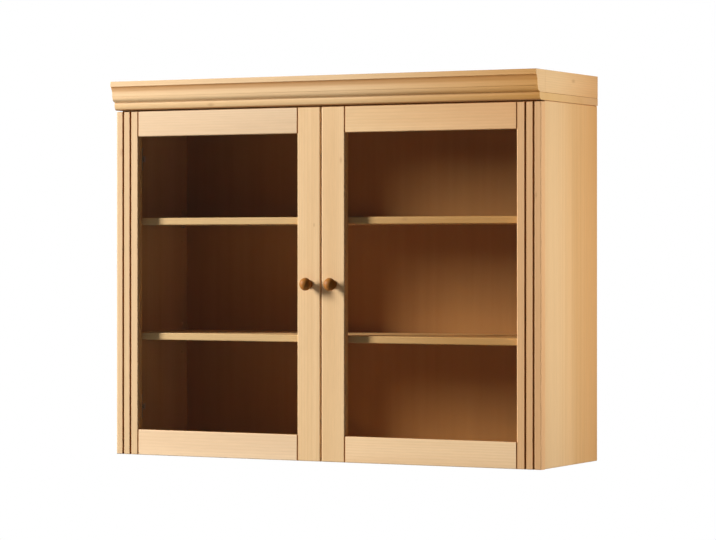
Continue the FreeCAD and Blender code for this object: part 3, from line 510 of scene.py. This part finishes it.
def float_glass():
    """Clear float glass, 4 mm thick: nearly invisible, with a weak clean reflection and faint wipe marks.

    Light from the lamps and from other surfaces passes straight through, as it does through a pane.
    """
    material, tree, shader = start_material("clear_float_glass", {
        "Roughness": 0.0, "IOR": 1.5, "Transmission Weight": 1.0, "Specular IOR Level": 0.08,
    })
    spot = add_node(tree, "ShaderNodeTexCoord").outputs["Object"]
    wipe = add_node(tree, "ShaderNodeTexNoise", {
        "Vector": spot, "Scale": 14.0, "Detail": 3.0,
    }).outputs["Fac"]
    film = add_node(tree, "ShaderNodeMix", {
        FACTOR: wipe, FIRST: linear("#FEFFFD"), SECOND: linear("#F8FAF7"),
    }, data_type="RGBA").outputs[MIXED]
    tree.links.new(film, shader.inputs["Base Color"])
    # Slanting lamplight loses a little of itself at each face of a pane
    clear = add_node(tree, "ShaderNodeBsdfTransparent", {"Color": linear("#F7F7F5")}).outputs[0]
    path = add_node(tree, "ShaderNodeLightPath")
    # A ray that has come in through one face is not a mirrored one, and the other face bends it back
    mirrored = add_node(tree, "ShaderNodeMath", {
        0: path.outputs["Is Glossy Ray"], 1: path.outputs["Is Transmission Ray"],
    }, operation="SUBTRACT", use_clamp=True).outputs[0]
    pane = shader.outputs[0]
    for share in (mirrored, path.outputs["Is Diffuse Ray"], path.outputs["Is Shadow Ray"]):
        pane = add_node(tree, "ShaderNodeMixShader", {0: share, 1: pane, 2: clear}).outputs[0]
    output = next(node for node in tree.nodes if node.type == "OUTPUT_MATERIAL")
    tree.links.new(pane, output.inputs["Surface"])
    return material


def nickel_plated_steel():
    """Pressed steel with a nickel plating: pale, faintly warm, clouded by its drum polish."""
    finish = bpy.context.scene.cabinet_finish
    material, tree, shader = start_material("nickel_plated_steel", {
        "Base Color": finish.nickel, "Metallic": 0.8,
    })
    spot = add_node(tree, "ShaderNodeTexCoord").outputs["Object"]
    cloud = add_node(tree, "ShaderNodeTexNoise", {
        "Vector": spot, "Scale": 260.0, "Detail": 4.0,
    }).outputs["Fac"]
    sheen = add_node(tree, "ShaderNodeMapRange", {"Value": cloud, "To Min": 0.28, "To Max": 0.5}).outputs[0]
    bump = add_node(tree, "ShaderNodeBump", {"Strength": 0.05, "Distance": 0.05 * MM, "Height": cloud})
    tree.links.new(sheen, shader.inputs["Roughness"])
    tree.links.new(bump.outputs[0], shader.inputs["Normal"])
    return material


def turned_beech():
    """Dowel beech: even pale wood with short darker flecks, left without a finish."""
    finish = bpy.context.scene.cabinet_finish
    material, tree, shader = start_material("turned_beech", {"Specular IOR Level": 0.3, "Roughness": 0.6})
    spot = add_node(tree, "ShaderNodeTexCoord").outputs["Object"]
    lie = add_node(tree, "ShaderNodeMapping", {"Vector": spot, "Scale": (0.25, 1.0, 1.0)}).outputs[0]
    flecks = add_node(tree, "ShaderNodeTexNoise", {
        "Vector": lie, "Scale": 900.0, "Detail": 2.0,
    }).outputs["Fac"]
    share = add_node(tree, "ShaderNodeMapRange", {"Value": flecks, "From Min": 0.5, "From Max": 0.75})
    colour = add_node(tree, "ShaderNodeMix", {
        FACTOR: share.outputs[0], FIRST: finish.beech, SECOND: finish.beech_fleck,
    }, data_type="RGBA").outputs[MIXED]
    tree.links.new(colour, shader.inputs["Base Color"])
    return material


def soft_silicone():
    """Milky silicone: a soft, slightly see-through gel with a dull skin."""
    finish = bpy.context.scene.cabinet_finish
    material, tree, shader = start_material("soft_silicone", {
        "Base Color": finish.silicone, "IOR": 1.41, "Subsurface Weight": 0.3,
        "Subsurface Radius": (MM, MM, MM),
    })
    spot = add_node(tree, "ShaderNodeTexCoord").outputs["Object"]
    dust = add_node(tree, "ShaderNodeTexNoise", {
        "Vector": spot, "Scale": 700.0, "Detail": 3.0,
    }).outputs["Fac"]
    sheen = add_node(tree, "ShaderNodeMapRange", {"Value": dust, "To Min": 0.4, "To Max": 0.6}).outputs[0]
    tree.links.new(sheen, shader.inputs["Roughness"])
    return material


# Modelling
def bow(start, end, radius, side, steps):
    """Points after start on an arc to end. Side is 1 where it bows to the left, -1 to the right."""
    half = (end - start) / 2
    left = Vector((-half.y, half.x)).normalized()
    centre = start + half - left * side * math.sqrt(radius ** 2 - half.length_squared)
    sweep = -2 * side * math.asin(half.length / radius)
    spoke = start - centre
    points = []
    for step in range(1, steps + 1):
        turn = sweep * step / steps
        points.append(centre + Vector((
            spoke.x * math.cos(turn) - spoke.y * math.sin(turn),
            spoke.x * math.sin(turn) + spoke.y * math.cos(turn),
        )))
    return points


def trace(name, points):
    """Extrude one vertex from point to point, and leave the chain selected in edit mode."""
    bpy.ops.object.select_all(action="DESELECT")
    bpy.ops.mesh.primitive_plane_add(size=MM, location=points[0])
    piece = bpy.context.object
    piece.name = name
    bpy.ops.object.mode_set(mode="EDIT")
    bpy.ops.mesh.select_all(action="SELECT")
    bpy.ops.mesh.merge(type="CENTER")
    for here, there in zip(points, points[1:]):
        bpy.ops.mesh.extrude_vertices_move(TRANSFORM_OT_translate={"value": there - here})
    bpy.ops.mesh.select_all(action="SELECT")
    return piece


def close_mesh(piece, smooth_degrees):
    """Merge seams, turn the faces outwards and put the piece's place in its mesh."""
    bpy.ops.mesh.select_all(action="SELECT")
    bpy.ops.mesh.remove_doubles(threshold=0.01 * MM)
    bpy.ops.mesh.normals_make_consistent(inside=False)
    bpy.ops.object.mode_set(mode="OBJECT")
    bpy.ops.object.transform_apply(location=True, rotation=True, scale=True)
    bpy.ops.object.shade_smooth_by_angle(angle=math.radians(smooth_degrees))


def run_profile(name, points, length, material, end_material):
    """Fill a profile, run it along X and give the face at the end of the run a material of its own."""
    piece = trace(name, points)
    bpy.ops.mesh.edge_face_add()
    bpy.ops.mesh.extrude_region_move(TRANSFORM_OT_translate={"value": (length, 0, 0)})
    piece.data.materials.append(material)
    piece.data.materials.append(end_material)
    piece.active_material_index = 1
    bpy.ops.object.material_slot_assign()
    close_mesh(piece, 30)
    return piece


def place_piece(piece, body, node_name):
    """Finish a new piece: its body and the CAD node that it stands for."""
    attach(piece, body)
    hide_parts(node_name)


# Operators
class CABINET_OT_boards(bpy.types.Operator):
    """Finish the pine boards, each with its own cut of grain"""

    bl_idname = "cabinet.boards"
    bl_label = "Pine Boards"

    def execute(self, context):
        boards = dict(CENTRAL_BOARDS)
        for side in SIDES:
            boards.update({f"{side}_{name}": lie for name, lie in PAIRED_BOARDS.items()})
        for seed, (name, (grain, stave_axis)) in enumerate(boards.items(), start=1):
            low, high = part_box(name)
            staves = None if stave_axis is None else (stave_axis, low[stave_axis])
            dress(name, lacquered_pine(
                f"lacquered_pine_{name}", (low + high) / 2, grain, seed, staves=staves,
                knots=BOARD_KNOTS.get(name, ()), grooves=self.grooves(name, low, high),
                tone=BOARD_TONES_AND_PAINTED_LIGHT.get(name, (1.0, 1.0)), fade=BOARD_FADES.get(name),
            ))
        return {"FINISHED"}

    def grooves(self, name, low, high):
        """Boxes of painted shade: under the crown boards, and in the joints, flutes and top edges of a door.
        """
        if name.endswith("crown_board"):
            return [(
                Vector((low.x - MM, low.y - CROWN_SHADE_REACH, low.z)),
                Vector((high.x + MM, high.y + MM, low.z + CROWN_SHADE_HEIGHT)),
            )]
        side, _, part = name.partition("_door_")
        if part not in ("hinge_stile", "meeting_stile", "top_rail", "bottom_rail"):
            return []
        rail_low, rail_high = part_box(f"{side}_door_top_rail")
        sill_low, sill_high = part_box(f"{side}_door_bottom_rail")
        boxes = [(Vector((low.x - MM, low.y, high.z - TOP_SHADE_HEIGHT)), high + Vector((MM, MM, MM)))]
        for joint_x in (rail_low.x, rail_high.x):
            for bottom, top in ((rail_low.z, rail_high.z), (sill_low.z, sill_high.z)):
                boxes.append((
                    Vector((joint_x - JOINT_SHADE_REACH, low.y - MM, bottom)),
                    Vector((joint_x + JOINT_SHADE_REACH, low.y + JOINT_SHADE_DEPTH, top)),
                ))
        if part == "hinge_stile":
            outer_x = low.x if side == "left" else high.x
            for inset in FLUTE_INSETS:
                flute_x = outer_x - SIDES[side] * inset
                boxes.append((
                    Vector((flute_x - FLUTE_SHADE_REACH, low.y + FLUTE_LIP, low.z - MM)),
                    Vector((flute_x + FLUTE_SHADE_REACH, low.y + FLUTE_SHADE_DEPTH, high.z + MM)),
                ))
        return boxes


class CABINET_OT_back_sheet(bpy.types.Operator):
    """Finish the thin sheet behind the shelves"""

    bl_idname = "cabinet.back_sheet"
    bl_label = "Back Sheet"

    def execute(self, context):
        dress("back_panel", brown_back_sheet())
        return {"FINISHED"}


class CABINET_OT_glass(bpy.types.Operator):
    """Finish the panes of the doors"""

    bl_idname = "cabinet.glass"
    bl_label = "Glass Panes"

    def execute(self, context):
        glass = float_glass()
        for side in SIDES:
            dress(f"{side}_door_glass", glass)
        return {"FINISHED"}


class CABINET_OT_fittings(bpy.types.Operator):
    """Finish the hinges, pins, dowels and bumpers"""

    bl_idname = "cabinet.fittings"
    bl_label = "Fittings"

    def execute(self, context):
        nickel = nickel_plated_steel()
        beech = turned_beech()
        silicone = soft_silicone()
        for side in SIDES:
            for name in PAIRED_METAL:
                dress(f"{side}_{name}", nickel)
            dress(f"{side}_door_dowels", beech)
            dress(f"{side}_door_bumpers", silicone)
        for name in CENTRAL_METAL:
            dress(name, nickel)
        dress("carcass_dowels", beech)
        return {"FINISHED"}


class CABINET_OT_top_board(bpy.types.Operator):
    """Shape the top board, whose front edge bows out a little and leans back to its foot"""

    bl_idname = "cabinet.top_board"
    bl_label = "Top Board"

    def execute(self, context):
        low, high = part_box("top_board")
        depth, height = high.y - low.y, high.z - low.z
        crest = Vector((0.3 * MM, height))
        foot = Vector((2.8, 2.3)) * MM
        heel = Vector((5.0, 0.0)) * MM
        bow_radius = 18 * MM
        shade_height = 2.2 * MM
        outline = [Vector((depth, height)), crest]
        outline += bow(crest, foot, bow_radius, -1, context.scene.cabinet_shapes.arc_steps)
        outline += [heel, Vector((depth, 0.0))]
        points = [Vector((low.x, low.y + p.x, low.z + p.y)) for p in outline]
        # Painted shade on the underside and the foot of the front edge
        underside = (low - Vector((MM, MM, MM)), Vector((high.x + MM, high.y + MM, low.z + shade_height)))
        # Painted shade: the top board turns darker and redder towards its right end
        pine = lacquered_pine(
            "lacquered_pine_top_board", (low + high) / 2, X, 30, staves=(Y, low.y),
            knots=[((-0.26, low.y, 0.047), 6 * MM)], grooves=[underside], tone=(1.02, 0.98),
            fade=(X, 0.05, 0.5, 1.3, 0.8),
        )
        end_grain = lacquered_pine(
            "lacquered_pine_end_grain", (low + high) / 2, X, 29, tone=(1.12, 0.9),
            fade=BOARD_FADES["right_crown_board"],
        )
        piece = run_profile("bowed_top_board", points, high.x - low.x, pine, end_grain)
        place_piece(piece, "carcass", "top_board")
        return {"FINISHED"}


class CABINET_OT_crown_moulding(bpy.types.Operator):
    """Run the crown's front moulding: fillet, cove, quirk and ovolo with eased arrises"""

    bl_idname = "cabinet.crown_moulding"
    bl_label = "Crown Moulding"

    def execute(self, context):
        shapes = context.scene.cabinet_shapes
        low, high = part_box("crown_front_moulding")
        fillet_foot = Vector((2.0, 35.0)) * MM
        cove_top = Vector((6.3, 26.0)) * MM
        cove_foot = Vector((7.0, 20.0)) * MM
        cove_radius = 22 * MM
        quirk_lip = Vector((7.5, 13.0)) * MM
        quirk = Vector((8.3, 13.0)) * MM
        ovolo_foot = Vector((17.0, 2.0)) * MM
        ovolo_radius = 10.5 * MM
        heel = Vector((18.0, 0.0)) * MM
        depth, height = high.y - low.y, high.z - low.z
        outline = [Vector((depth, height)), Vector((0.0, height))]
        outline += [Vector((0.0, fillet_foot.y)), fillet_foot, cove_top]
        outline += bow(cove_top, cove_foot, cove_radius, 1, shapes.arc_steps)
        outline += [quirk_lip, quirk]
        outline += bow(quirk, ovolo_foot, ovolo_radius, -1, shapes.arc_steps)
        outline += [heel, Vector((depth, 0.0))]
        points = [Vector((low.x, low.y + p.x, low.z + p.y)) for p in outline]
        # Painted shade: the moulding turns darker and redder towards its right end
        pine = lacquered_pine(
            "lacquered_pine_crown_moulding", (low + high) / 2, X, 31, tone=(0.98, 0.97),
            # Painted shade in the hollow below the fillet
            fade=(X, 0.05, 0.5, 1.28, 0.86), hollow=(low.z + cove_foot.y, low.z + fillet_foot.y),
        )
        end_grain = worn_material("right_crown_board")
        piece = run_profile("crown_moulding", points, high.x - low.x, pine, end_grain)
        easing = piece.modifiers.new("eased_arrises", "BEVEL")
        easing.width = shapes.arris
        easing.segments = 2
        easing.angle_limit = math.radians(40)
        bpy.ops.object.modifier_apply(modifier=easing.name)
        place_piece(piece, "carcass", "crown_front_moulding")
        return {"FINISHED"}


class CABINET_OT_knobs(bpy.types.Operator):
    """Turn the two knobs: a domed head on a waisted neck that flares to its foot"""

    bl_idname = "cabinet.knobs"
    bl_label = "Door Knobs"

    def execute(self, context):
        shapes = context.scene.cabinet_shapes
        head_edge = Vector((10.5, 13.5)) * MM
        neck = Vector((18.0, 6.0)) * MM
        foot = Vector((24.0, 9.0)) * MM
        back_edge = Vector((26.0, 9.0)) * MM
        dome_radius = 14 * MM
        shoulder_radius = 8.5 * MM
        flare_radius = 6.5 * MM
        outline = [Vector((0.0, 0.0))]
        outline += bow(outline[0], head_edge, dome_radius, 1, shapes.arc_steps)
        outline += bow(head_edge, neck, shoulder_radius, 1, shapes.arc_steps)
        outline += bow(neck, foot, flare_radius, -1, shapes.arc_steps)
        outline += [back_edge, Vector((back_edge.x, 0.0))]
        finish = context.scene.cabinet_finish
        woods = (finish.knob_wood, finish.knob_grain, finish.knob_grain)
        for number, side in enumerate(SIDES):
            low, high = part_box(f"{side}_door_knob")
            centre = (low + high) / 2
            points = [Vector((centre.x, low.y + p.x, centre.z + p.y)) for p in outline]
            piece = trace(f"{side}_turned_knob", points)
            bpy.ops.mesh.spin(steps=shapes.knob_steps, angle=2 * math.pi, center=centre, axis=(0, 1, 0))
            close_mesh(piece, 40)
            pine = lacquered_pine(
                f"lacquered_pine_{side}_knob", centre, Y, 40 + number, woods=woods, gloss=0.15,
            )
            piece.data.materials.append(pine)
            place_piece(piece, f"{side}_door", f"{side}_door_knob")
        return {"FINISHED"}


class CABINET_OT_stage(bpy.types.Operator):
    """Set up the floor, the light and the camera"""

    bl_idname = "cabinet.stage"
    bl_label = "Stage"

    def execute(self, context):
        self.add_floor(context.scene.cabinet_stage)
        self.light_world(context.scene)
        self.add_lights(context.scene.cabinet_stage)
        self.add_camera(context.scene)
        context.scene.view_settings.view_transform = "Standard"
        return {"FINISHED"}

    def add_floor(self, stage):
        """A plain pale floor, well below the hung cabinet."""
        bpy.ops.object.select_all(action="DESELECT")
        bpy.ops.mesh.primitive_plane_add(size=FLOOR_SIZE, location=(0, 0, CAD_BOX[0].z - stage.floor_drop))
        floor = bpy.context.object
        floor.name = "floor"
        bpy.ops.object.transform_apply(location=True)
        material, tree, shader = start_material("pale_floor", {
            "Base Color": linear("#959593"), "Roughness": 0.9,
        })
        glow = add_node(tree, "ShaderNodeEmission", {"Color": linear("#FFFFFF")})
        path = add_node(tree, "ShaderNodeLightPath")
        seen = add_node(tree, "ShaderNodeMath", {
            0: path.outputs["Is Camera Ray"], 1: path.outputs["Is Transmission Ray"],
        }, operation="MAXIMUM").outputs[0]
        share = add_node(tree, "ShaderNodeMath", {0: seen, 1: FLOOR_GLOW}, operation="MULTIPLY").outputs[0]
        tree.links.new(share, glow.inputs["Strength"])
        both = add_node(tree, "ShaderNodeAddShader", {0: shader.outputs[0], 1: glow.outputs[0]})
        output = next(node for node in tree.nodes if node.type == "OUTPUT_MATERIAL")
        tree.links.new(both.outputs[0], output.inputs["Surface"])
        floor.data.materials.append(material)

    def light_world(self, scene):
        """Dim even light, and a background that the eye, glass and metal see as white.

        White cloth hangs straight behind the cabinet. The panes mirror the rest of the studio, which is
        dim, as a faint veil. Metal and lacquer, which mirror it less sharply, catch some of the cloth's
        light from all round.
        """
        world = bpy.data.worlds.new("studio")
        scene.world = world
        world.use_nodes = True
        tree = world.node_tree
        tree.nodes.clear()
        path = add_node(tree, "ShaderNodeLightPath")
        direction = add_node(tree, "ShaderNodeTexCoord").outputs["Generated"]
        depth = add_node(tree, "ShaderNodeSeparateXYZ", {0: direction}).outputs["Y"]
        behind = add_node(tree, "ShaderNodeMapRange", {
            "Value": depth, "From Min": 0.9, "From Max": 1.0,
        }).outputs[0]
        mirrored = add_node(tree, "ShaderNodeMath", {
            0: path.outputs["Is Glossy Ray"], 1: behind,
        }, operation="MULTIPLY").outputs[0]
        seen = path.outputs["Is Camera Ray"]
        for ray in (path.outputs["Is Transmission Ray"], mirrored):
            seen = add_node(tree, "ShaderNodeMath", {0: seen, 1: ray}, operation="MAXIMUM").outputs[0]
        stage = scene.cabinet_stage
        blurred = add_node(tree, "ShaderNodeMath", {
            0: path.outputs["Is Glossy Ray"], 1: path.outputs["Is Singular Ray"],
        }, operation="SUBTRACT", use_clamp=True).outputs[0]
        level = add_node(tree, "ShaderNodeMath", {
            0: blurred, 1: stage.cloth_light, 2: stage.ambient,
        }, operation="MULTIPLY_ADD").outputs[0]
        even = add_node(tree, "ShaderNodeBackground", {"Color": linear("#F6F0EA"), "Strength": level})
        white = add_node(tree, "ShaderNodeBackground", {"Color": linear("#FFFFFF"), "Strength": 1.0})
        mix = add_node(tree, "ShaderNodeMixShader", {0: seen, 1: even.outputs[0], 2: white.outputs[0]})
        add_node(tree, "ShaderNodeOutputWorld", {"Surface": mix.outputs[0]})

    def add_lights(self, stage):
        """A soft key from the left, a soft light from behind and a strip light beside the right side.

        No lamp is seen straight through an open door's pane.
        """
        target = Vector((0.0, -0.2, -0.3))
        for name, place, aim, size, power in (
            ("key", target + 6.0 * Vector((-0.864, -0.399, 0.308)), target, (0.8, 2.5), stage.key_power),
            ("back", target + 4.0 * Vector((-0.55, 0.75, 0.36)), target, (2.5, 2.5), stage.back_power),
            ("strip", Vector((1.1, -0.24, -0.2)), Vector((0.5, -0.24, -0.2)), (0.03, 1.5), stage.side_power),
        ):
            lamp = bpy.data.lights.new(name, "AREA")
            lamp.shape = "RECTANGLE"
            lamp.size, lamp.size_y = size
            lamp.energy = power
            light = bpy.data.objects.new(name, lamp)
            bpy.context.scene.collection.objects.link(light)
            light.location = place
            light.rotation_euler = (aim - place).to_track_quat("-Z", "Y").to_euler()
            light.visible_transmission = False
        inner_walls = [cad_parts[name] for name in ("right_side_panel", "right_crown_board")]
        bpy.data.objects["key"].light_linking.receiver_collection = self.left_out("key_walls", inner_walls)
        flags = self.add_flags()
        for name in ("back", "strip"):
            bpy.data.objects[name].light_linking.blocker_collection = self.left_out(f"{name}_flags", flags)

    def add_flags(self):
        """Two cards by the left side that only cast a shadow, to keep the key's glare off its edges."""
        door_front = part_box("left_door_hinge_stile")[0].y
        top_front, crown_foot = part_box("top_board")[0].y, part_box("crown_front_moulding")[0].z
        low, high = CAD_BOX
        cards = []
        for name, front, bottom, top in (
            ("lower_flag", door_front + CARD_SETBACK, low.z, crown_foot),
            ("upper_flag", top_front + CARD_SETBACK, crown_foot, high.z),
        ):
            bpy.ops.object.select_all(action="DESELECT")
            middle = (low.x - CARD_GAP, (front + high.y) / 2, (bottom + top) / 2)
            bpy.ops.mesh.primitive_plane_add(size=1.0, location=middle, rotation=(0, math.pi / 2, 0))
            card = bpy.context.object
            card.name = name
            bpy.ops.transform.resize(value=(1, high.y - front, top - bottom), center_override=middle)
            bpy.ops.object.transform_apply(location=True, rotation=True, scale=True)
            for ray in ("camera", "diffuse", "glossy", "transmission"):
                setattr(card, f"visible_{ray}", False)
            cards.append(card)
        return cards

    def left_out(self, name, pieces):
        """A collection that leaves pieces out of a lamp's light or of the shadows it casts."""
        group = bpy.data.collections.new(name)
        for piece in pieces:
            group.objects.link(piece)
        for entry in group.collection_objects:
            entry.light_linking.link_state = "EXCLUDE"
        return group

    def add_camera(self, scene):
        """A level camera with a long lens, to the right of the cabinet."""
        stage = scene.cabinet_stage
        lens = bpy.data.cameras.new("camera")
        lens.lens = stage.lens
        lens.sensor_width = 36.0
        lens.shift_y = stage.rise
        camera = bpy.data.objects.new("camera", lens)
        scene.collection.objects.link(camera)
        camera.location = stage.camera_place
        camera.rotation_euler = (math.pi / 2, 0.0, stage.camera_turn)
        scene.camera = camera


PIECE_OPERATORS = (
    CABINET_OT_boards,
    CABINET_OT_back_sheet,
    CABINET_OT_glass,
    CABINET_OT_fittings,
    CABINET_OT_top_board,
    CABINET_OT_crown_moulding,
    CABINET_OT_knobs,
    CABINET_OT_stage,
)


class CABINET_PT_sidebar(bpy.types.Panel):
    """The cabinet's pieces and its stage"""

    bl_idname = "CABINET_PT_sidebar"
    bl_label = "Pine Wall Cabinet"
    bl_space_type = "VIEW_3D"
    bl_region_type = "UI"
    bl_category = "Cabinet"

    def draw(self, context):
        for operator in PIECE_OPERATORS:
            self.layout.operator(operator.bl_idname)
        for group_name in PROPERTY_GROUPS:
            group = getattr(context.scene, group_name)
            for name in group.bl_rna.properties.keys():
                if name not in ("rna_type", "name"):
                    self.layout.prop(group, name)


PROPERTY_GROUPS = {
    "cabinet_finish": CabinetFinish,
    "cabinet_shapes": CabinetShapes,
    "cabinet_stage": CabinetStage,
}


def register():
    for name, group in PROPERTY_GROUPS.items():
        bpy.utils.register_class(group)
        setattr(bpy.types.Scene, name, bpy.props.PointerProperty(type=group))
    for operator in PIECE_OPERATORS:
        bpy.utils.register_class(operator)
    bpy.utils.register_class(CABINET_PT_sidebar)


def unregister():
    bpy.utils.unregister_class(CABINET_PT_sidebar)
    for operator in reversed(PIECE_OPERATORS):
        bpy.utils.unregister_class(operator)
    for name, group in PROPERTY_GROUPS.items():
        delattr(bpy.types.Scene, name)
        bpy.utils.unregister_class(group)


def main():
    """Build every piece and the stage."""
    register()
    bpy.ops.cabinet.boards()
    bpy.ops.cabinet.back_sheet()
    bpy.ops.cabinet.glass()
    bpy.ops.cabinet.fittings()
    bpy.ops.cabinet.top_board()
    bpy.ops.cabinet.crown_moulding()
    bpy.ops.cabinet.knobs()
    bpy.ops.cabinet.stage()


if __name__ == "__main__":
    main()
